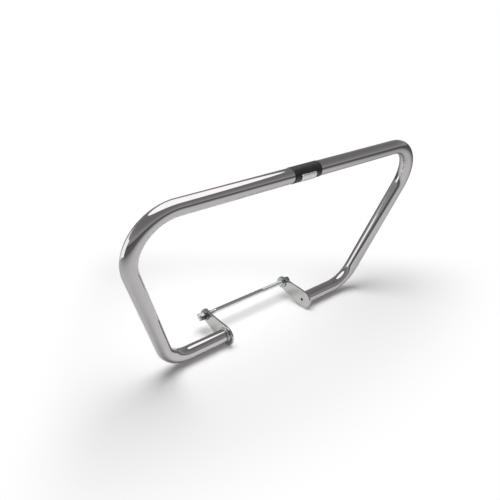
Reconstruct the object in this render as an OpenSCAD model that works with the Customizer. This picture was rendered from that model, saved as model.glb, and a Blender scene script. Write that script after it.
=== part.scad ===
// Motorcycle crash bars: one bent steel tube carried by two welded plates and a long through rod.
// Millimetres. X runs across the motorcycle, -Y points forward and +Z points up, as it is fitted.
// The origin is the middle of the through rod's axis. The loop leans forward of the rod.

/* [Tube] */
// Outside diameter of the bent tube
tube_d = 32; // [28:1:36]
// Wall thickness of the bent tube
tube_wall = 2; // [1.5:0.5:3]

/* [Loop] */
// Distance between the upper corners of the centre line, before they are rounded
top_span = 850; // [760:10:900]
// Distance between the lower corners of the centre line, before they are rounded
low_span = 552; // [500:4:600]
// Distance from the stubs' axis to the top tube's axis, along the loop
loop_h = 392; // [340:4:440]
// Radius of the upper bends on the centre line
top_bend_r = 88; // [60:2:110]
// Radius of the lower bends on the centre line
low_bend_r = 72; // [55:1:90]
// How far the loop leans forward of upright, in degrees
lean = 16; // [0:1:30]

/* [Plates] */
// Clear distance between the inner faces of the plates
plate_gap = 243; // [200:1:280]
// Thickness of each plate
plate_t = 5; // [4:0.5:8]
// Distance of the through rod behind the stubs' axis
rod_back = 73.5; // [65:0.5:90]
// Height of the through rod above the stubs' axis
rod_up = 20.5; // [12:0.5:30]
// Radius of the plate's rounded front end, round the tube
nose_r = 23; // [21:0.5:26]
// How far the centre of that round end lies ahead of the stubs' axis
nose_ahead = 4; // [0:0.5:6]
// Radius of the plate's rear lobe, round the rod
lobe_r = 14.5; // [13:0.5:18]
// How far the plate's flat foot runs on behind the stubs' axis
foot_back = 10.5; // [6:0.5:20]
// Diameter of the vent hole that opens the tube's bore through the plate
vent_d = 5; // [3:0.5:8]

/* [Weld] */
// Leg of the weld bead round the stub
weld_leg = 3; // [2:0.5:4]

/* [Through rod] */
// Diameter of the rod and its threads
rod_d = 12; // [10:1:14]
// How far the rod stands out of its outer nuts
stud_out = 3; // [1:0.5:10]
// Length of the chamfer on the rod's ends
rod_chamfer = 1.5; // [0.5:0.25:2]

/* [Fasteners] */
// Width of the nuts across their flats
nut_af = 18; // [17:1:22]
// Height of the nuts
nut_h = 10.8; // [6:0.4:12]
// Outside diameter of the flat washers under the nuts
washer_d = 26; // [24:1:28]
// Outside diameter of the spacer washers between the plates
spacer_d = 28; // [24:1:30]
// Thickness of the flat washers under the nuts
washer_t = 2.5; // [1.5:0.5:3]
// Thickness of the spacer washers between the plates
spacer_t = 3; // [2:0.5:6]
// Outside diameter of the split spring washers
spring_d = 21; // [20:0.5:23]
// Thickness of the split spring washers, pressed flat
spring_t = 2.5; // [2:0.5:3]

/* [Sleeve] */
// Length of the thin sleeve on the top tube
sleeve_w = 75; // [50:1:100]
// Wall of the thin sleeve
sleeve_t = 0.8; // [0.5:0.1:2]
// How far the sleeve sits to the right of the middle
sleeve_shift = 4; // [-10:1:10]
// Width of the blank badge plate along the tube
badge_w = 41; // [30:1:46]
// Height of the blank badge plate across the tube
badge_h = 18; // [12:1:24]
// Thickness of the badge plate
badge_t = 1.2; // [0.8:0.1:2]
// How far the badge faces below straight ahead, in degrees
badge_drop = 24; // [0:1:40]

/* [Hidden] */
$fn = 96;

// How far a cutting shape runs past what it cuts
cut = 1;
// Radial clearance of the sleeve and the nuts on what they sit on
seat_gap = 0.05;
// Radial clearance of the rod in the plates
rod_gap = 0.25;
// Radial clearance of the rod in the washers
washer_gap = 0.5;
// Width of the slit in a spring washer
spring_slit = 1.5;
// How far a plate's straight edges lie inside its round corners' true tangents
edge_in = 0.01;
// How much the tube's radius draws down where it is bent
draw_down = 0.05;
// How far the full radius of a straight length runs on into a bend
bend_lap = 0.5;

tube_r = tube_d / 2;
bore_r = tube_r - tube_wall;
rod_r = rod_d / 2;
plate_in = plate_gap / 2;
plate_out = plate_in + plate_t;

// Centre line of the loop: straight lengths end where the bends begin
arm_a = atan2(loop_h, (top_span - low_span) / 2);
low_cut = low_bend_r * tan(arm_a / 2);
top_cut = top_bend_r * tan((180 - arm_a) / 2);
low_start = low_span / 2 - low_cut;
top_start = top_span / 2 - top_cut;
arm_len = norm([(top_span - low_span) / 2, loop_h]) - low_cut - top_cut;
stub_len = low_start - plate_out;
top_mid = [0, -rod_back - loop_h * sin(lean), -rod_up + loop_h * cos(lean)];

// Places along the rod, out from the middle
washer_x = plate_out;
spring_x = washer_x + washer_t;
nut_x = spring_x + spring_t;
rod_end = nut_x + nut_h + stud_out;

// Corners of a plate's outline, from the stubs' axis: rearward, then up
nose_c = [-nose_ahead, nose_r - foot_drop()];
rod_c = [rod_back, rod_up];
foot_end = [foot_back, edge_in - foot_drop()];

// Depth of the plate's flat foot below the stubs' axis
function foot_drop() = nose_r - 1;
function unit(v) = v / norm(v);
function turn(v, a) = [v[0] * cos(a) - v[1] * sin(a), v[0] * sin(a) + v[1] * cos(a)];
// Where a line from point p touches a circle, on the side given by s
function touch(p, c, r, s) = c + r * turn(unit(p - c), s * acos(r / norm(p - c)));
// Direction from a circle's centre to where the upper tangent of two circles touches it
function lift(c1, r1, c2, r2) = turn(unit(c2 - c1), acos((r1 - r2) / norm(c2 - c1)));

// A round bar along X from x0 to x1
module bar_x(r, x0, x1) {
  translate([x0, 0, 0])
    rotate([0, 90, 0])
      cylinder(r = r, h = x1 - x0);
}

// The tube's section, its radius less by draw
module tube_section(draw) {
  difference() {
    circle(tube_r - draw);
    circle(bore_r - draw);
  }
}

// A straight length of the tube along X, let into the bends at its ends, then the rest of the tube
module straight(len) {
  translate([-bend_lap, 0, 0])
    rotate([0, 90, 0])
      linear_extrude(len + 2 * bend_lap)
        tube_section(0);
  translate([len, 0, 0])
    children();
}

// A bend of the tube that turns from X toward Y, then the rest of the tube
module bend(bend_r, sweep) {
  translate([0, bend_r, 0]) {
    rotate([0, 0, -90])
      rotate_extrude(angle = sweep)
        translate([bend_r, 0])
          tube_section(draw_down);
    rotate([0, 0, sweep])
      translate([0, -bend_r, 0])
        children();
  }
}

// One side of the loop: upper bend, arm, lower bend and stub
module loop_side() {
  bend(top_bend_r, 180 - arm_a)
    straight(arm_len)
      bend(low_bend_r, arm_a)
        straight(stub_len + cut);
}

// The continuous tube, with both stubs cut off square at the plates' outer faces
module main_tube() {
  color([0.78, 0.78, 0.79])
    translate(top_mid)
      rotate([lean - 90, 0, 0])
        difference() {
          union() {
            translate([-top_start, 0, 0])
              straight(2 * top_start)
                loop_side();
            translate([-top_start, 0, 0])
              mirror([1, 0, 0])
                loop_side();
          }
          translate([-plate_out, loop_h - tube_d, -tube_d])
            cube([2 * plate_out, 2 * tube_d, 2 * tube_d]);
        }
}

// Outline of a plate: a round nose on a flat foot, tapering back to a lobe round the rod
module plate_outline() {
  nose_edge = nose_r - edge_in;
  lobe_edge = lobe_r - edge_in;
  lobe_t = touch(foot_end, rod_c, lobe_edge, 1);
  top_dir = lift(nose_c, nose_edge, rod_c, lobe_edge);
  translate(nose_c)
    circle(nose_r);
  translate(rod_c)
    circle(lobe_r);
  polygon([
    nose_c + nose_edge * top_dir, nose_c, nose_c - [0, nose_edge], foot_end,
    lobe_t, rod_c, rod_c + lobe_edge * top_dir
  ]);
}

// side is 1 for the right plate and -1 for the left one
module plate(side) {
  color([0.72, 0.72, 0.71])
    translate([side > 0 ? plate_in : -plate_out, -rod_back, -rod_up])
      rotate([90, 0, 90])
        difference() {
          linear_extrude(plate_t)
            plate_outline();
          translate([0, 0, -cut])
            cylinder(d = vent_d, h = plate_t + 2 * cut);
          translate([rod_c[0], rod_c[1], -cut])
            cylinder(r = rod_r + rod_gap, h = plate_t + 2 * cut);
        }
}

module left_plate() {
  plate(-1);
}

module right_plate() {
  plate(1);
}

// Rounded bead in the corner between the stub and the plate's outer face
module weld_bead(side) {
  color([0.6, 0.6, 0.6])
    translate([side * plate_out, -rod_back, -rod_up])
      rotate([0, side * 90, 0])
        rotate_extrude()
          translate([tube_r, 0])
            intersection() {
              circle(weld_leg);
              square(weld_leg);
            }
}

module left_weld_bead() {
  weld_bead(-1);
}

module right_weld_bead() {
  weld_bead(1);
}

module through_rod() {
  color([0.7, 0.71, 0.72])
    rotate([0, 90, 0])
      rotate_extrude()
        polygon([
          [0, -rod_end], [rod_r - rod_chamfer, -rod_end], [rod_r, -rod_end + rod_chamfer],
          [rod_r, rod_end - rod_chamfer], [rod_r - rod_chamfer, rod_end], [0, rod_end]
        ]);
}

// Places what follows on the rod's axis, x out from the middle, with its +Z pointing outward
module on_rod(side, x) {
  translate([side * x, 0, 0])
    rotate([0, side * 90, 0])
      children();
}

// A hexagon nut with both ends of its corners chamfered
module hex_nut() {
  corner_r = nut_af / 2 / cos(30);
  face_r = nut_af / 2 - 0.3;
  drop = (corner_r - face_r) * tan(30);
  difference() {
    intersection() {
      cylinder(r = corner_r, h = nut_h, $fn = 6);
      rotate_extrude()
        polygon([
          [0, 0], [face_r, 0], [corner_r, drop], [corner_r, nut_h - drop], [face_r, nut_h], [0, nut_h]
        ]);
    }
    translate([0, 0, -cut])
      cylinder(r = rod_r + seat_gap, h = nut_h + 2 * cut);
  }
}

// A flat washer with an edge softened on its outer side
module flat_washer(d, t, hole_r) {
  soft = 0.4;
  rotate_extrude()
    polygon([[hole_r, 0], [d / 2, 0], [d / 2, t - soft], [d / 2 - soft, t], [hole_r, t]]);
}

// A split ring, its slit cut on a slant
module split_washer() {
  hole_r = rod_r + 0.2;
  difference() {
    rotate_extrude()
      polygon([[hole_r, 0], [spring_d / 2, 0], [spring_d / 2, spring_t], [hole_r, spring_t]]);
    translate([spring_d / 3, 0, spring_t / 2])
      rotate([25, 0, 0])
        cube([spring_d / 2, spring_slit, 3 * spring_t], center = true);
  }
}

module outer_nut(side) {
  color([0.62, 0.63, 0.64])
    on_rod(side, nut_x)
      hex_nut();
}

module spring_washer(side) {
  color([0.55, 0.56, 0.57])
    on_rod(side, spring_x)
      split_washer();
}

module outer_washer(side) {
  color([0.66, 0.67, 0.68])
    on_rod(side, washer_x)
      flat_washer(washer_d, washer_t, rod_r + washer_gap);
}

module spacer_washer(side) {
  color([0.68, 0.68, 0.69])
    on_rod(-side, -plate_in)
      flat_washer(spacer_d, spacer_t, rod_r + washer_gap);
}

module left_outer_nut() {
  outer_nut(-1);
}

module right_outer_nut() {
  outer_nut(1);
}

module left_spring_washer() {
  spring_washer(-1);
}

module right_spring_washer() {
  spring_washer(1);
}

module left_outer_washer() {
  outer_washer(-1);
}

module right_outer_washer() {
  outer_washer(1);
}

module left_spacer_washer() {
  spacer_washer(-1);
}

module right_spacer_washer() {
  spacer_washer(1);
}

// Thin sleeve round the top tube, with softened ends
module top_sleeve() {
  in_r = tube_r + seat_gap;
  out_r = tube_r + sleeve_t;
  soft = sleeve_t / 3;
  color([0.1, 0.1, 0.11])
    translate(top_mid + [sleeve_shift - sleeve_w / 2, 0, 0])
      rotate([0, 90, 0])
        rotate_extrude()
          polygon([
            [in_r, 0], [out_r - soft, 0], [out_r, soft],
            [out_r, sleeve_w - soft], [out_r - soft, sleeve_w], [in_r, sleeve_w]
          ]);
}

// A rectangle with round corners, centred
module round_rect(w, h, r) {
  for (x = [-1, 1], y = [-1, 1])
    translate([x * (w / 2 - r), y * (h / 2 - r)])
      circle(r);
  square([w - 2 * r, h], center = true);
  square([w, h - 2 * r], center = true);
}

// Blank badge plate, curved to lie on the sleeve
module badge_plate() {
  in_r = tube_r + sleeve_t;
  color([0.8, 0.8, 0.8])
    translate(top_mid + [sleeve_shift, 0, 0])
      rotate([90 + badge_drop, 0, 0])
        intersection() {
          difference() {
            bar_x(in_r + badge_t, -badge_w, badge_w);
            bar_x(in_r, -badge_w - cut, badge_w + cut);
          }
          linear_extrude(in_r + 2 * badge_t)
            round_rect(badge_w, badge_h, 2.5);
        }
}

main_tube();
left_plate();
right_plate();
left_weld_bead();
right_weld_bead();
through_rod();
left_outer_nut();
right_outer_nut();
left_spring_washer();
right_spring_washer();
left_outer_washer();
right_outer_washer();
left_spacer_washer();
right_spacer_washer();
top_sleeve();
badge_plate();
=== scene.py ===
import math

import bmesh
import bpy
from mathutils import Matrix, Vector


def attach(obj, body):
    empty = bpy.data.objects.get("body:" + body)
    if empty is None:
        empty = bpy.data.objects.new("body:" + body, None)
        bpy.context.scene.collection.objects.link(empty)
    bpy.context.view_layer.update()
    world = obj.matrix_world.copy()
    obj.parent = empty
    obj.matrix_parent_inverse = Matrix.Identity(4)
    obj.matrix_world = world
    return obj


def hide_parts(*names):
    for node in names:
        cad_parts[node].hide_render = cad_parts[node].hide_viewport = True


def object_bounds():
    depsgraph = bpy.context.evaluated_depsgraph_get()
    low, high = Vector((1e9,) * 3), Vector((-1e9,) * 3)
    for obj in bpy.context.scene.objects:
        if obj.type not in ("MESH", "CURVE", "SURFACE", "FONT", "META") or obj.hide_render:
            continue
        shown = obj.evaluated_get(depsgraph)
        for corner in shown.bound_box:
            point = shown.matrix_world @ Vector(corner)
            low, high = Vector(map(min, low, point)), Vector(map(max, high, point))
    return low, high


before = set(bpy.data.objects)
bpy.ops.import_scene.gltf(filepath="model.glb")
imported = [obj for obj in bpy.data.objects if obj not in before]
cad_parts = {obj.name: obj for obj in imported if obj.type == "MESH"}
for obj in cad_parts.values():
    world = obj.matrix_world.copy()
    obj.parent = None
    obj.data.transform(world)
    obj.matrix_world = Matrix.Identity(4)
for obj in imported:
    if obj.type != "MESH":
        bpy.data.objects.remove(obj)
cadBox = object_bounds()
print("frame loaded:", len(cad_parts), "nodes")

scene = bpy.context.scene
scene.view_settings.view_transform = "Standard"
mm = 0.001

# The rod's axis runs along X through the origin, and the stubs' axis lies ahead of it and below
stubAhead = 73.5 * mm
stubBelow = 20.5 * mm
plateFace = 126.5 * mm  # the plates' outer faces, where the stubs end


# The camera, fitted to the outline of the tube

cameraFit = {
    "place": (-0.78206, -0.93751, 0.67213),
    "heading": 40.38,  # degrees from straight back, toward the right
    "dip": 24.02,      # degrees below level
    "roll": -0.95,     # degrees
    "lens": 40.474,    # mm
    "sensor": 36.0,
}


def aimCamera(fit):
    lens = bpy.data.cameras.new("studioCamera")
    lens.sensor_width = fit["sensor"]
    lens.lens = fit["lens"]
    camera = bpy.data.objects.new("studioCamera", lens)
    scene.collection.objects.link(camera)
    camera.matrix_world = (
        Matrix.Translation(fit["place"])
        @ Matrix.Rotation(math.radians(-fit["heading"]), 4, "Z")
        @ Matrix.Rotation(math.radians(90 - fit["dip"]), 4, "X")
        @ Matrix.Rotation(math.radians(fit["roll"]), 4, "Z")
    )
    scene.camera = camera


aimCamera(cameraFit)
print("camera aimed")


# Shader maths: a socket that takes part in Python expressions

class Wire:
    def __init__(self, board, socket):
        self.board = board
        self.socket = socket

    def maths(self, operation, *values):
        return self.board.add("ShaderNodeMath", {"operation": operation}, dict(enumerate(values)))

    def __add__(self, other):
        return self.maths("ADD", self, other)

    def __sub__(self, other):
        return self.maths("SUBTRACT", self, other)

    def __rsub__(self, other):
        return self.maths("SUBTRACT", other, self)

    def __mul__(self, other):
        return self.maths("MULTIPLY", self, other)

    def __truediv__(self, other):
        return self.maths("DIVIDE", self, other)

    def __lt__(self, other):
        return self.maths("LESS_THAN", self, other)

    __radd__ = __add__
    __rmul__ = __mul__


class Board:  # one node tree, and the one way to add a node to it
    def __init__(self, owner):
        owner.use_nodes = True
        self.tree = owner.node_tree
        self.tree.nodes.clear()

    def add(self, kind, settings, sockets, out=0):
        node = self.tree.nodes.new(kind)
        for name, value in settings.items():
            if name == "stops":
                self.setStops(node.color_ramp, value)
            else:
                setattr(node, name, value)
        for name, value in sockets.items():
            if isinstance(value, Wire):
                self.tree.links.new(value.socket, node.inputs[name])
            else:
                node.inputs[name].default_value = value
        return Wire(self, node.outputs[out]) if node.outputs else node

    def setStops(self, ramp, stops):
        while len(ramp.elements) < len(stops):
            ramp.elements.new(1.0)
        for element, (place, grey) in zip(ramp.elements, stops):
            element.position = place
            element.color = (grey, grey, grey, 1.0)

    def noise(self, vector, scale, detail=2.0, rough=0.5):
        return self.add(
            "ShaderNodeTexNoise", {"noise_dimensions": "3D"},
            {"Vector": vector, "Scale": scale, "Detail": detail, "Roughness": rough},
        )

    def rays(self, *names):  # 1 where a ray of any of these kinds looks at the surface
        seen = self.add("ShaderNodeLightPath", {}, {}, out=names[0])
        for name in names[1:]:
            seen = seen.maths("MAXIMUM", seen, self.add("ShaderNodeLightPath", {}, {}, out=name))
        return seen

    def stretch(self, vector, scale, shift=(0.0, 0.0, 0.0)):
        return self.add("ShaderNodeMapping", {}, {"Vector": vector, "Scale": scale, "Location": shift})

    def length(self, vector):
        return self.add("ShaderNodeVectorMath", {"operation": "LENGTH"}, {0: vector}, out="Value")

    def ramp(self, value, start, end, low=0.0, high=1.0):
        return self.add(
            "ShaderNodeMapRange", {"interpolation_type": "SMOOTHSTEP"},
            {"Value": value, "From Min": start, "From Max": end, "To Min": low, "To Max": high},
        )

    def blendColour(self, factor, first, second):
        return self.add("ShaderNodeMix", {"data_type": "RGBA"}, {0: factor, 6: first, 7: second}, out=2)

    def bump(self, height, strength, distance):
        return self.add(
            "ShaderNodeBump", {}, {"Height": height, "Strength": strength, "Distance": distance},
        )

    def glow(self, shade, strength):  # a surface that only gives light
        shine = self.add("ShaderNodeEmission", {}, {"Color": shade, "Strength": strength})
        self.add("ShaderNodeOutputMaterial", {}, {"Surface": shine})


def colour(red, green, blue):
    return (red, green, blue, 1.0)


# Metals: a base colour, a roughness that wanders, fine tool lines and, where asked, painted shade in a bore

def metalFinish(name, look):
    metal = bpy.data.materials.new(name)
    board = Board(metal)
    if "attribute" in look:  # the place along the tube before it was bent
        place = board.add("ShaderNodeAttribute", {"attribute_name": look["attribute"]}, {}, out="Vector")
    else:
        place = board.add("ShaderNodeTexCoord", {}, {}, out="Object")
    streaks = board.noise(board.stretch(place, look["lineScale"]), 1.0, detail=3.0, rough=0.6)
    clouds = board.noise(place, look["cloudScale"], detail=3.0, rough=0.5)
    rough = look["rough"] + look["roughWander"] * (clouds - 0.5) + look["roughLines"] * (streaks - 0.5)
    shade = board.blendColour(clouds, colour(*look["deep"]), colour(*look["pale"]))
    metallic = 1.0
    if look.get("bore"):  # painted shade: the inside of a bore is painted near black and rough
        bore = look["bore"]
        paintedShade = board.length(board.stretch(place, bore["across"], bore["toAxis"])) < bore["within"]
        # painted shade: inside the bore the base colour becomes near black (the key scale holds that colour)
        shade = board.blendColour(paintedShade, shade, colour(*bore["scale"]))
        rough = rough + bore["rougher"] * paintedShade
        metallic = 1 - paintedShade
    height = streaks + look["cloudBump"] * clouds
    shader = board.add(
        "ShaderNodeBsdfPrincipled", {},
        {
            "Base Color": shade,
            "Metallic": metallic,
            "Specular Tint": colour(*look["edgeTint"]),
            "Roughness": rough,
            "Normal": board.bump(height, look["bumpStrength"], look["bumpDepth"]),
        },
    )
    board.add("ShaderNodeOutputMaterial", {}, {"Surface": shader})
    return metal


polishedLook = {
    "attribute": "unbent",
    "edgeTint": (0.75, 0.75, 0.75),
    "deep": (0.515, 0.497, 0.504),
    "pale": (0.555, 0.535, 0.543),
    # painted shade: the tube's inner wall is painted near black, so it looks dark through the vents
    "bore": {
        "toAxis": (0.0, 0.0, 0.0),
        "across": (1.0, 1.0, 0.0),
        "within": 15.0 * mm,
        "scale": (0.012, 0.011, 0.011),
        "rougher": 0.6,
    },
    "rough": 0.055,
    "roughWander": 0.03,
    "roughLines": 0.02,
    "lineScale": (60.0, 60.0, 4000.0),  # round the tube, as a buffing wheel leaves them
    "cloudScale": 45.0,
    "cloudBump": 0.3,
    "bumpStrength": 0.08,
    "bumpDepth": 0.00001,
}
plateLook = {
    "edgeTint": (0.75, 0.75, 0.75),
    "deep": (0.43, 0.43, 0.425),
    "pale": (0.56, 0.56, 0.55),
    "bore": {  # painted shade: the vents and a dark rim round each, painted near black round the stubs' axis
        "toAxis": (0.0, stubAhead, stubBelow),
        "across": (0.0, 1.0, 1.0),
        "within": 3.8 * mm,
        # the near-black colour of the painted shade on and round the vents
        "scale": (0.004, 0.004, 0.004),
        "rougher": 0.8,
    },
    "rough": 0.13,
    "roughWander": 0.08,
    "roughLines": 0.08,
    "lineScale": (300.0, 60.0, 2200.0),
    "cloudScale": 120.0,
    "cloudBump": 0.6,
    "bumpStrength": 0.35,
    "bumpDepth": 0.00004,
}
weldLook = {
    "edgeTint": (0.75, 0.75, 0.75),
    "deep": (0.38, 0.37, 0.36),
    "pale": (0.58, 0.57, 0.55),
    "rough": 0.24,
    "roughWander": 0.14,
    "roughLines": 0.05,
    "lineScale": (900.0, 900.0, 900.0),
    "cloudScale": 350.0,
    "cloudBump": 1.0,
    "bumpStrength": 0.4,
    "bumpDepth": 0.00005,
}
zincLook = {
    "edgeTint": (0.75, 0.75, 0.75),
    "deep": (0.34, 0.35, 0.36),
    "pale": (0.46, 0.47, 0.48),
    "rough": 0.12,
    "roughWander": 0.08,
    "roughLines": 0.06,
    "lineScale": (1800.0, 500.0, 500.0),
    "cloudScale": 300.0,
    "cloudBump": 0.8,
    "bumpStrength": 0.3,
    "bumpDepth": 0.00003,
}
rodLook = dict(
    zincLook, deep=(0.70, 0.705, 0.71), pale=(0.78, 0.785, 0.79),
    rough=0.045, roughWander=0.02, roughLines=0.02, bumpStrength=0.1,
)
springLook = dict(zincLook, deep=(0.22, 0.23, 0.24), pale=(0.34, 0.35, 0.36), rough=0.22)
badgeLook = dict(plateLook, deep=(0.72, 0.72, 0.72), pale=(0.82, 0.82, 0.82), rough=0.34, bore=None)

polishedSteel = metalFinish("polishedSteel", polishedLook)
plateSteel = metalFinish("brushedPlateSteel", plateLook)
weldSteel = metalFinish("weldSteel", weldLook)
zincSteel = metalFinish("zincSteel", zincLook)
rodSteel = metalFinish("brightRodSteel", rodLook)
springSteel = metalFinish("springSteel", springLook)
badgeMetal = metalFinish("badgeMetal", badgeLook)

sleeveLook = {
    "deep": (0.004, 0.004, 0.005),
    "pale": (0.016, 0.016, 0.017),
    "rough": 0.40,
    "roughWander": 0.3,
    "grainScale": 1500.0,
    "cloudScale": 90.0,
    "bumpStrength": 0.5,
    "bumpDepth": 0.00006,
}


def sleeveFinish(look):
    rubber = bpy.data.materials.new("blackSleeve")
    board = Board(rubber)
    place = board.add("ShaderNodeTexCoord", {}, {}, out="Object")
    grain = board.noise(place, look["grainScale"], detail=2.0, rough=0.6)
    clouds = board.noise(place, look["cloudScale"], detail=4.0, rough=0.55)
    shader = board.add(
        "ShaderNodeBsdfPrincipled", {},
        {
            "Base Color": board.blendColour(clouds, colour(*look["deep"]), colour(*look["pale"])),
            "Roughness": look["rough"] + look["roughWander"] * (clouds - 0.5),
            "Normal": board.bump(grain, look["bumpStrength"], look["bumpDepth"]),
        },
    )
    board.add("ShaderNodeOutputMaterial", {}, {"Surface": shader})
    return rubber


blackSleeve = sleeveFinish(sleeveLook)
print("materials mixed")


# Mesh helpers

def makeObject(name, bm, material):
    mesh = bpy.data.meshes.new(name)
    bm.to_mesh(mesh)
    bm.free()
    mesh.materials.append(material)
    made = bpy.data.objects.new(name, mesh)
    scene.collection.objects.link(made)
    return made


def finishPiece(name, bm, material, node, sharpAngle=32.0):
    piece = makeObject(name, bm, material)
    piece.data.shade_smooth()
    piece.data.set_sharp_from_angle(angle=math.radians(sharpAngle))
    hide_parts(node)
    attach(piece, "root")
    return piece


def vertsOf(made):
    return [item for item in made if isinstance(item, bmesh.types.BMVert)]


def edgesOf(made, verts):
    kept = set(verts)
    return [
        item for item in made
        if isinstance(item, bmesh.types.BMEdge) and item.verts[0] in kept and item.verts[1] in kept
    ]


def growRing(bm, edges):
    made = bmesh.ops.extrude_edge_only(bm, edges=edges)["geom"]
    verts = vertsOf(made)
    return verts, edgesOf(made, verts)


# A lathe round the X axis: each ring is (distance from the axis, place along it)
# reshape, where it is given, varies both by the angle round the axis
def lathe(rings, segments, reshape=None, closed=True):
    bm = bmesh.new()
    upright = Matrix.Rotation(math.radians(90), 4, "Y")
    verts = bmesh.ops.create_circle(bm, radius=1.0, segments=segments, matrix=upright)["verts"]
    edges = list(bm.edges)
    firstEdges = edges
    for index, (out, along) in enumerate(rings):
        if index:
            verts, edges = growRing(bm, edges)
        for vert in verts:
            angle = math.atan2(vert.co.z, vert.co.y)
            far, place = reshape(angle, out, along) if reshape else (out, along)
            vert.co = (place, far * math.cos(angle), far * math.sin(angle))
    if closed:
        bmesh.ops.bridge_loops(bm, edges=firstEdges + edges)
    else:
        bmesh.ops.holes_fill(bm, edges=firstEdges + edges)
    bmesh.ops.recalc_face_normals(bm, faces=bm.faces)
    return bm


def softCorner(corner, before, after, radius, steps=3):
    corner, before, after = Vector(corner), Vector(before), Vector(after)
    start = corner + radius * (before - corner).normalized()
    end = corner + radius * (after - corner).normalized()
    points = []
    for step in range(steps + 1):
        part = step / steps
        points.append(start.lerp(corner, part).lerp(corner.lerp(end, part), part))
    return [tuple(point) for point in points]


def softOutline(corners, radius, steps=3):
    points = []
    for index, corner in enumerate(corners):
        before = corners[index - 1]
        after = corners[(index + 1) % len(corners)]
        points += softCorner(corner, before, after, radius, steps)
    return points


# The tube: one polished tube with four bends, kept with its unbent place for the buffing lines

tubeSizes = {
    "radius": 16.0 * mm,
    "wall": 2.0 * mm,
    "topSpan": 850.0 * mm,
    "lowSpan": 552.0 * mm,
    "loopHeight": 392.0 * mm,
    "topBend": 88.0 * mm,
    "lowBend": 72.0 * mm,
    "lean": 16.0,           # degrees
    "segments": 80,
    "bendStep": 2.2,        # degrees
    "straightStep": 12.0 * mm,
    "inside": 0.07 * mm,    # keeps the rounded surface within the tube's true radius
}


def sweepRing(bm, layer, verts, edges, turn, length):
    verts, edges = growRing(bm, edges)
    for vert in verts:
        vert.co = turn @ vert.co
        vert[layer] = vert[layer] + Vector((0.0, 0.0, length))
    return verts, edges


def sweepSide(bm, layer, verts, edges, sizes):
    rise = sizes["loopHeight"]
    armAngle = math.atan2(rise, (sizes["topSpan"] - sizes["lowSpan"]) / 2)
    lowCut = sizes["lowBend"] * math.tan(armAngle / 2)
    topCut = sizes["topBend"] * math.tan((math.pi - armAngle) / 2)
    topStart = sizes["topSpan"] / 2 - topCut
    armLength = math.hypot((sizes["topSpan"] - sizes["lowSpan"]) / 2, rise) - lowCut - topCut
    stubLength = sizes["lowSpan"] / 2 - lowCut - plateFace
    heading = 0.0
    here = Vector((0.0, 0.0, 0.0))
    legs = [
        ("straight", topStart),
        ("bend", sizes["topBend"], math.pi - armAngle),
        ("straight", armLength),
        ("bend", sizes["lowBend"], armAngle),
        ("straight", stubLength),
    ]
    for leg in legs:
        if leg[0] == "straight":
            count = max(1, round(leg[1] / sizes["straightStep"]))
            step = Vector((math.cos(heading), math.sin(heading), 0.0)) * leg[1] / count
            for _ in range(count):
                verts, edges = sweepRing(bm, layer, verts, edges, Matrix.Translation(step), leg[1] / count)
                here = here + step
        else:
            count = round(math.degrees(leg[2]) / sizes["bendStep"])
            angle = leg[2] / count
            centre = here + leg[1] * Vector((-math.sin(heading), math.cos(heading), 0.0))
            turn = (
                Matrix.Translation(centre) @ Matrix.Rotation(angle, 4, "Z") @ Matrix.Translation(-centre)
            )
            for _ in range(count):
                verts, edges = sweepRing(bm, layer, verts, edges, turn, leg[1] * angle)
                here = turn @ here
            heading += leg[2]
    return edges


def bendTube(sizes):
    bm = bmesh.new()
    layer = bm.verts.layers.float_vector.new(polishedLook["attribute"])
    upright = Matrix.Rotation(math.radians(90), 4, "Y")
    ends = []
    for radius in (sizes["radius"] - sizes["inside"], sizes["radius"] - sizes["wall"]):
        old = set(bm.edges)
        verts = bmesh.ops.create_circle(
            bm, radius=radius, segments=sizes["segments"], matrix=upright,
        )["verts"]
        for vert in verts:
            vert[layer] = Vector((vert.co.y, vert.co.z, 0.0))
        edges = [edge for edge in bm.edges if edge not in old]
        ends += sweepSide(bm, layer, verts, edges, sizes)
    bmesh.ops.bridge_loops(bm, edges=ends)
    half = bmesh.ops.duplicate(bm, geom=bm.verts[:] + bm.edges[:] + bm.faces[:])["geom"]
    for vert in vertsOf(half):
        vert.co.x = -vert.co.x
        vert[layer] = Vector((vert[layer].x, vert[layer].y, -vert[layer].z))
    bmesh.ops.remove_doubles(bm, verts=bm.verts, dist=0.001 * mm)
    lean = math.radians(sizes["lean"])
    topMiddle = Vector((
        0.0,
        -stubAhead - sizes["loopHeight"] * math.sin(lean),
        -stubBelow + sizes["loopHeight"] * math.cos(lean),
    ))
    stand = Matrix.Translation(topMiddle) @ Matrix.Rotation(lean - math.pi / 2, 4, "X")
    bmesh.ops.transform(bm, matrix=stand, verts=bm.verts)
    bmesh.ops.recalc_face_normals(bm, faces=bm.faces)
    return finishPiece("bentTube", bm, polishedSteel, "main_tube", sharpAngle=60.0)


bendTube(tubeSizes)
print("tube bent")


# The plates: a round nose on a flat foot, tapering back to a lobe round the rod

plateSizes = {  # in the plate's own plane, from the stub's axis
    "thick": 5.0 * mm,
    "noseAhead": 4.0 * mm,
    "noseRadius": 23.0 * mm,
    "footDrop": 21.98 * mm,
    "footBack": 10.5 * mm,
    "lobeRadius": 14.5 * mm,
    "ventRadius": 2.5 * mm,
    "ventSides": 24,
    "rodHole": 6.25 * mm,
    "rodHoleSides": 36,
    "edgeSoft": 0.45 * mm,
    "edgeSteps": 3,
    "rimAngle": 70.0,  # degrees, above which an edge is a rim to soften
    "arcStep": 6.0,    # degrees
}


def arcPoints(centre, radius, fromAngle, toAngle, step):
    count = max(2, math.ceil(abs(toAngle - fromAngle) / step))
    angles = [math.radians(fromAngle + (toAngle - fromAngle) * i / count) for i in range(count + 1)]
    return [(centre[0] + radius * math.cos(a), centre[1] + radius * math.sin(a)) for a in angles]


def roundHole(centre, radius, sides):
    step = 360.0 / sides
    return arcPoints(centre, radius, 0.0, 360.0 - step, step)


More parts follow.
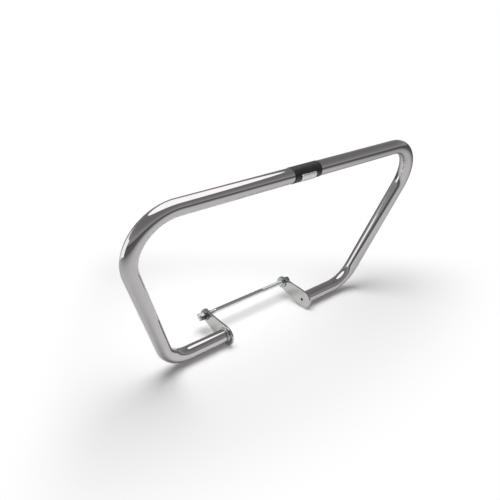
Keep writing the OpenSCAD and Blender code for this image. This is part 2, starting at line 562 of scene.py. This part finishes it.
def plateOutline(sizes):
    nose = (-sizes["noseAhead"], sizes["noseRadius"] - sizes["footDrop"])
    footEnd = (sizes["footBack"], -sizes["footDrop"])
    lobe = (stubAhead, stubBelow)
    between = Vector(lobe) - Vector(nose)
    top = math.degrees(
        math.atan2(between.y, between.x)
        + math.acos((sizes["noseRadius"] - sizes["lobeRadius"]) / between.length)
    )
    away = Vector(footEnd) - Vector(lobe)
    under = math.degrees(math.atan2(away.y, away.x) + math.acos(sizes["lobeRadius"] / away.length))
    step = sizes["arcStep"]
    return (
        arcPoints(nose, sizes["noseRadius"], top, 270.0, step)
        + [footEnd]
        + arcPoints(lobe, sizes["lobeRadius"], under, top, step)
    )


def flatLoop(bm, points):
    verts = [bm.verts.new((0.0, y, z)) for y, z in points]
    for index, vert in enumerate(verts):
        bm.edges.new((verts[index - 1], vert))


def cutPlate(side, node, sizes):
    bm = bmesh.new()
    flatLoop(bm, plateOutline(sizes))
    flatLoop(bm, roundHole((0.0, 0.0), sizes["ventRadius"], sizes["ventSides"]))
    flatLoop(bm, roundHole((stubAhead, stubBelow), sizes["rodHole"], sizes["rodHoleSides"]))
    bmesh.ops.triangle_fill(bm, edges=bm.edges, use_beauty=True, normal=(1.0, 0.0, 0.0))
    made = bmesh.ops.extrude_face_region(bm, geom=bm.faces[:])["geom"]
    bmesh.ops.translate(bm, verts=vertsOf(made), vec=(sizes["thick"], 0.0, 0.0))
    steep = math.radians(sizes["rimAngle"])
    rims = [edge for edge in bm.edges if edge.is_manifold and edge.calc_face_angle() > steep]
    bmesh.ops.recalc_face_normals(bm, faces=bm.faces)
    bmesh.ops.bevel(
        bm, geom=rims, offset=sizes["edgeSoft"], segments=sizes["edgeSteps"], affect="EDGES",
        profile=0.5, material=-1,
    )
    nearest = plateFace - sizes["thick"] if side > 0 else -plateFace
    bmesh.ops.translate(bm, verts=bm.verts, vec=(nearest, -stubAhead, -stubBelow))
    return finishPiece(node.replace("_plate", "LugPlate"), bm, plateSteel, node)


for side, node in ((-1, "left_plate"), (1, "right_plate")):
    cutPlate(side, node, plateSizes)
print("plates cut")


# The welds: a fillet laid round each stub in short overlapping ripples

weldSizes = {
    "leg": 3.0 * mm,
    "intoTube": 0.05 * mm,
    "ripples": 26,
    "rippleDepth": 0.11,
    "sweepBack": 0.12,  # how far a ripple's middle trails its ends, in radians
    "wander": 0.05,    # share by which the bead swells and shrinks in slow waves
    "wanderWaves": 3,
    "wanderStart": 1.3,
    "segments": 260,
    "rows": 9,
}


def layWeld(side, node, sizes):
    root = tubeSizes["radius"] - sizes["intoTube"]

    def ripple(angle, out, along):
        rise = out - root
        part = math.atan2(along, max(rise, 1e-9)) / (math.pi / 2)
        lag = sizes["sweepBack"] * math.sin(math.pi * part)
        wave = abs(math.sin(sizes["ripples"] / 2 * (angle + lag)))
        slow = math.sin(sizes["wanderWaves"] * angle + sizes["wanderStart"])
        size = 1 - sizes["rippleDepth"] * (1 - wave) - sizes["wander"] * (1 + slow) / 2
        return root + rise * size, along * size

    arc = [math.pi / 2 * step / (sizes["rows"] - 1) for step in range(sizes["rows"])]
    rings = [(root + sizes["leg"] * math.cos(a), sizes["leg"] * math.sin(a)) for a in arc]
    bm = lathe([(root, 0.0)] + rings, sizes["segments"], ripple)
    place = Matrix.Translation((side * plateFace, -stubAhead, -stubBelow))
    bmesh.ops.transform(bm, matrix=place @ Matrix.Diagonal((side, 1.0, 1.0, 1.0)), verts=bm.verts)
    bmesh.ops.recalc_face_normals(bm, faces=bm.faces)
    name = node.replace("_weld_bead", "WeldBead")
    return finishPiece(name, bm, weldSteel, node, sharpAngle=60.0)


for side, node in ((-1, "left_weld_bead"), (1, "right_weld_bead")):
    layWeld(side, node, weldSizes)
print("welds laid")


# The through rod: a plain shank between two rolled threads

rodSizes = {
    "radius": 6.0 * mm,
    "halfLength": 145.3 * mm,
    "chamfer": 1.5 * mm,
    "pitch": 1.75 * mm,
    "depth": 1.07 * mm,
    "leftThread": 45.0 * mm,
    "rightThread": 92.0 * mm,
    "runOut": 2.5 * mm,
    "shank": 5.97 * mm,
    "crest": 0.125,     # share of the pitch
    "steeper": 1.15,    # flanks steeper by this leave a flat root
    "segments": 40,
    "ringsPerPitch": 10,
    "shankStep": 6.0 * mm,
}


def threadRod(sizes):
    end = sizes["halfLength"]
    leftEnd = -end + sizes["leftThread"]
    rightStart = end - sizes["rightThread"]
    step = sizes["pitch"] / sizes["ringsPerPitch"]

    def threaded(angle, out, along):
        phase = (along / sizes["pitch"] - angle / (2 * math.pi)) % 1.0
        groove = max(0.0, 1 - abs(phase - 0.5) / (0.5 - sizes["crest"] / 2))
        groove = min(1.0, groove * sizes["steeper"])
        inThread = max(leftEnd - along, along - rightStart)
        share = min(1.0, max(0.0, inThread / sizes["runOut"]))
        radius = sizes["shank"] + (sizes["radius"] - sizes["shank"]) * share
        radius -= sizes["depth"] * groove * share
        radius = min(radius, sizes["radius"] - sizes["chamfer"] + (end - abs(along)))
        return radius, along

    def evenly(start, stop, gap):
        count = max(1, round((stop - start) / gap))
        return [start + (stop - start) * i / count for i in range(count)]

    places = (
        evenly(-end, leftEnd, step)
        + evenly(leftEnd, rightStart, sizes["shankStep"])
        + evenly(rightStart, end, step)
        + [end]
    )
    bm = lathe([(sizes["radius"], x) for x in places], sizes["segments"], threaded, closed=False)
    return finishPiece("threadedRod", bm, rodSteel, "through_rod", sharpAngle=50.0)


threadRod(rodSizes)
print("rod threaded")


# Nuts and washers, each built along +X from its inner face and then set on the rod

fastenerSizes = {
    "nutFlats": 18.0 * mm,
    "nutHeight": 10.8 * mm,
    "nutFace": 8.7 * mm,
    "nutBore": 6.05 * mm,
    "nutLead": 0.6 * mm,
    "nutChamfer": 30.0,  # degrees
    "cornerSoft": 0.2 * mm,
    "washer": (26.0 * mm, 2.5 * mm),  # width, thickness
    "spacer": (28.0 * mm, 3.0 * mm),
    "washerBore": 6.5 * mm,
    "spring": (21.0 * mm, 2.5 * mm),
    "springBore": 6.2 * mm,
    "slit": 1.5 * mm,
    "slant": 25.0,       # degrees
    "springSoft": 0.08,  # share of the wire's width
    "springSteps": 72,
    "soft": 0.4 * mm,
    "segments": 96,
}


def setOnRod(bm, side, x):
    turn = Matrix.Translation((side * x, 0.0, 0.0)) @ Matrix.Diagonal((side, 1.0, 1.0, 1.0))
    bmesh.ops.transform(bm, matrix=turn, verts=bm.verts)
    bmesh.ops.recalc_face_normals(bm, faces=bm.faces)


def makeNut(side, node, x, sizes):
    half = sizes["nutFlats"] / 2
    face = sizes["nutFace"]
    slope = math.tan(math.radians(sizes["nutChamfer"]))
    high = sizes["nutHeight"]
    lead = sizes["nutLead"]

    def hexagon(angle, out, along):
        if out <= face:
            return out, along
        offFlat = (angle + math.pi / 6) % (math.pi / 3) - math.pi / 6
        rim = min(half / math.cos(offFlat), half / math.cos(math.pi / 6) - sizes["cornerSoft"])
        drop = (rim - face) * slope
        return rim, (drop if along < high / 2 else high - drop)

    bore = sizes["nutBore"]
    rings = [
        (bore, lead), (bore + lead, 0.0), (face, 0.0), (half, 0.0),
        (half, high), (face, high), (bore + lead, high), (bore, high - lead),
    ]
    bm = lathe(rings, sizes["segments"], hexagon)
    setOnRod(bm, side, x)
    name = node.replace("_outer_nut", "HexNut")
    return finishPiece(name, bm, zincSteel, node, sharpAngle=18.0)


def makeWasher(side, node, x, kind, name, sizes):
    outer, thick = sizes[kind]
    bore = sizes["washerBore"]
    corners = [(bore, 0.0), (outer / 2, 0.0), (outer / 2, thick), (bore, thick)]
    bm = lathe(softOutline(corners, sizes["soft"]), sizes["segments"])
    setOnRod(bm, side, x)
    return finishPiece(name, bm, zincSteel, node)


def makeSpringWasher(side, node, x, sizes):
    outer, thick = sizes["spring"]
    bore = sizes["springBore"]
    middle = (outer / 2 + bore) / 2
    bm = bmesh.new()
    bmesh.ops.create_grid(bm, x_segments=1, y_segments=1, size=0.5)
    bmesh.ops.bevel(
        bm, geom=bm.verts[:], offset=sizes["springSoft"], segments=3, affect="VERTICES",
        profile=0.5, material=-1,
    )
    atRadius = Matrix.Translation((thick / 2, 0.0, middle))
    wire = Matrix.Diagonal((thick, 1.0, outer / 2 - bore, 1.0))
    upright = Matrix.Rotation(math.pi / 2, 4, "X")
    bmesh.ops.transform(bm, matrix=atRadius @ wire @ upright, verts=bm.verts)
    gap = sizes["slit"] / middle
    bmesh.ops.rotate(bm, verts=bm.verts, cent=(0, 0, 0), matrix=Matrix.Rotation(gap / 2, 3, "X"))
    bmesh.ops.spin(
        bm, geom=bm.faces[:] + bm.edges[:] + bm.verts[:], cent=(0, 0, 0), axis=(1, 0, 0),
        angle=2 * math.pi - gap, steps=sizes["springSteps"], use_merge=False, use_duplicate=False,
    )
    slope = math.tan(math.radians(sizes["slant"]))
    for vert in bm.verts:
        angle = math.atan2(-vert.co.y, vert.co.z)
        away = max(0.0, 1 - abs(angle))  # the slant fades out within a radian of the slit
        shift = slope * (vert.co.x - thick / 2) / middle * away
        vert.co = Matrix.Rotation(shift, 3, "X") @ vert.co
    bmesh.ops.rotate(bm, verts=bm.verts, cent=(0, 0, 0), matrix=Matrix.Rotation(math.pi, 3, "X"))
    setOnRod(bm, side, x)
    name = node.replace("_spring_washer", "SpringWasher")
    return finishPiece(name, bm, springSteel, node)


washerX = plateFace
springX = washerX + fastenerSizes["washer"][1]
nutX = springX + fastenerSizes["spring"][1]
spacerX = plateFace - plateSizes["thick"] - fastenerSizes["spacer"][1]
for side, name in ((-1, "left"), (1, "right")):
    makeNut(side, name + "_outer_nut", nutX, fastenerSizes)
    makeSpringWasher(side, name + "_spring_washer", springX, fastenerSizes)
    makeWasher(side, name + "_outer_washer", washerX, "washer", name + "FlatWasher", fastenerSizes)
    makeWasher(side, name + "_spacer_washer", spacerX, "spacer", name + "Spacer", fastenerSizes)
print("fasteners turned")


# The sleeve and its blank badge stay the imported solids, with a finish of their own

for node, finish in (("top_sleeve", blackSleeve), ("badge_plate", badgeMetal)):
    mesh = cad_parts[node].data
    mesh.materials.clear()
    mesh.materials.append(finish)


# The studio: a white sheet in a grey room that only reflections see, a round lamp overhead and a low card

studio = {
    "floorDrop": 0.0001,
    "floorHalf": 9.0,
    "floorColour": (0.90, 0.90, 0.90),
    # middle, turn in degrees and half lengths of the oval inside which the floor isn't plain white
    "oval": ((0.0, 0.166, 0.0), 5.4, (0.861, 0.584, 1.0)),
    "ovalStart": 0.51,
    "ovalEnd": 1.18,
    "liftNear": 0.09,  # share of plain white in its middle
    # in these directions it turns plain white sooner, between two distances: direction, start, end
    "whiteSides": (((0.72, 0.694, 0.0), 0.16, 0.40), ((-0.83, 0.558, 0.0), 0.275, 0.475)),
    # the white sheet's oval, and how bright it is in reflections on it and beyond it
    "sheet": ((-0.03, -0.12, 0.0), 32.8, (1.37, 2.33, 1.0)),
    "sheetStart": 0.2,
    "sheetEnd": 1.08,
    "onSheet": 0.85,
    "beyondSheet": 0.16,
    "roomRadius": 9.0,
    "roomSegments": 48,
    # how bright the room's wall is in reflections: share of the height, glow
    "roomGlow": (
        (0.0, 0.12), (0.085, 0.13), (0.15, 0.42), (0.26, 0.42), (0.42, 0.32), (0.64, 0.25), (1.0, 0.25),
    ),
    "lampPlace": (-0.08, 0.015, 0.84),
    "lampWidth": 0.94,
    "lampSegments": 96,
    "lampGlow": 3.85,
    "screenGlow": 1.8,  # how bright its face is in reflections
    "roomFill": 0.10,   # the world's light on what isn't a mirror
    "cardFeet": ((-0.62, 0.80), (-1.30, 0.85), (-1.60, 0.30)),
    "cardBottom": -0.04,
    "cardTop": 0.66,
    "cardGlow": 1.6,
}


def paperFinish(plan):
    paper = bpy.data.materials.new("whitePaper")
    board = Board(paper)
    place = board.add("ShaderNodeTexCoord", {}, {}, out="Object")

    def outward(oval, start, end, low, high):
        middle, turn, half = oval
        inOval = board.add(
            "ShaderNodeMapping", {"vector_type": "TEXTURE"},
            {
                "Vector": place, "Location": middle, "Scale": half,
                "Rotation": (0.0, 0.0, math.radians(turn)),
            },
        )
        return board.ramp(board.length(inOval), start, end, low, high)

    fade = outward(plan["oval"], plan["ovalStart"], plan["ovalEnd"], plan["liftNear"], 1.0)
    for direction, start, end in plan["whiteSides"]:
        along = board.add(
            "ShaderNodeVectorMath", {"operation": "DOT_PRODUCT"}, {0: place, 1: direction}, out="Value",
        )
        fade = 1 - (1 - fade) * (1 - board.ramp(along, start, end))
    sheet = outward(plan["sheet"], plan["sheetStart"], plan["sheetEnd"], plan["onSheet"], plan["beyondSheet"])
    camera = board.rays("Is Camera Ray")
    seen = board.rays("Is Camera Ray", "Is Glossy Ray", "Is Transmission Ray")
    diffuse = board.add("ShaderNodeBsdfDiffuse", {}, {"Color": colour(*plan["floorColour"])})
    white = board.add(
        "ShaderNodeEmission", {}, {"Color": colour(1, 1, 1), "Strength": camera + (1 - camera) * sheet},
    )
    shader = board.add("ShaderNodeMixShader", {}, {0: seen * fade, 1: diffuse, 2: white})
    board.add("ShaderNodeOutputMaterial", {}, {"Surface": shader})
    return paper


def layFloor(plan):
    bm = bmesh.new()
    bmesh.ops.create_grid(bm, x_segments=1, y_segments=1, size=plan["floorHalf"])
    bmesh.ops.translate(bm, verts=bm.verts, vec=(0.0, 0.0, cadBox[0][2] - plan["floorDrop"]))
    makeObject("studioFloor", bm, paperFinish(plan))


def wallFinish(plan):
    walls = bpy.data.materials.new("greyWalls")
    board = Board(walls)
    place = board.add("ShaderNodeTexCoord", {}, {}, out="Object")
    height = board.add("ShaderNodeSeparateXYZ", {}, {0: place}, out="Z") / plan["roomRadius"]
    glow = board.add("ShaderNodeValToRGB", {"stops": plan["roomGlow"]}, {0: height})
    board.glow(glow, 1.0)
    return walls


def raiseRoom(plan):
    bm = bmesh.new()
    around = plan["roomSegments"]
    bmesh.ops.create_uvsphere(bm, u_segments=around, v_segments=around // 2, radius=plan["roomRadius"])
    bmesh.ops.translate(bm, verts=bm.verts, vec=(0.0, 0.0, cadBox[0][2]))
    room = makeObject("studioRoom", bm, wallFinish(plan))
    room.data.shade_smooth()
    room.visible_camera = False
    room.visible_diffuse = False


def mirroredOnly(name, bm, strength):
    face = bpy.data.materials.new(name + "Glow")
    Board(face).glow(colour(1, 1, 1), strength)
    panel = makeObject(name, bm, face)
    for rays in ("camera", "diffuse", "shadow", "transmission", "volume_scatter"):
        setattr(panel, "visible_" + rays, False)


def standCard(plan):
    bm = bmesh.new()
    verts = [bm.verts.new((x, y, plan["cardBottom"])) for x, y in plan["cardFeet"]]
    edges = [bm.edges.new(pair) for pair in zip(verts, verts[1:])]
    top, _ = growRing(bm, edges)
    bmesh.ops.translate(bm, verts=top, vec=(0.0, 0.0, plan["cardTop"] - plan["cardBottom"]))
    mirroredOnly("lowCard", bm, plan["cardGlow"])


def hangLamp(plan):
    disc = bpy.data.lights.new("roundLamp", "AREA")
    disc.shape = "DISK"
    disc.size = plan["lampWidth"]
    disc.energy = math.pi * plan["lampWidth"] ** 2 * plan["lampGlow"]  # watts for a face this bright
    lamp = bpy.data.objects.new("roundLamp", disc)
    scene.collection.objects.link(lamp)
    lamp.visible_camera = False
    lamp.visible_glossy = False
    lamp.location = plan["lampPlace"]
    bm = bmesh.new()
    level = Matrix.Translation(plan["lampPlace"])
    bmesh.ops.create_circle(
        bm, cap_ends=True, radius=plan["lampWidth"] / 2, segments=plan["lampSegments"], matrix=level,
    )
    mirroredOnly("lampScreen", bm, plan["screenGlow"])


def lightWorld(plan):
    world = bpy.data.worlds.new("studioWorld")
    scene.world = world
    board = Board(world)
    seen = board.rays("Is Camera Ray", "Is Glossy Ray", "Is Transmission Ray")
    strength = seen + plan["roomFill"] * (1 - seen)
    white = board.add("ShaderNodeBackground", {}, {"Color": colour(1, 1, 1), "Strength": strength})
    board.add("ShaderNodeOutputWorld", {}, {"Surface": white})


layFloor(studio)
raiseRoom(studio)
hangLamp(studio)
standCard(studio)
lightWorld(studio)
print("studio lit")
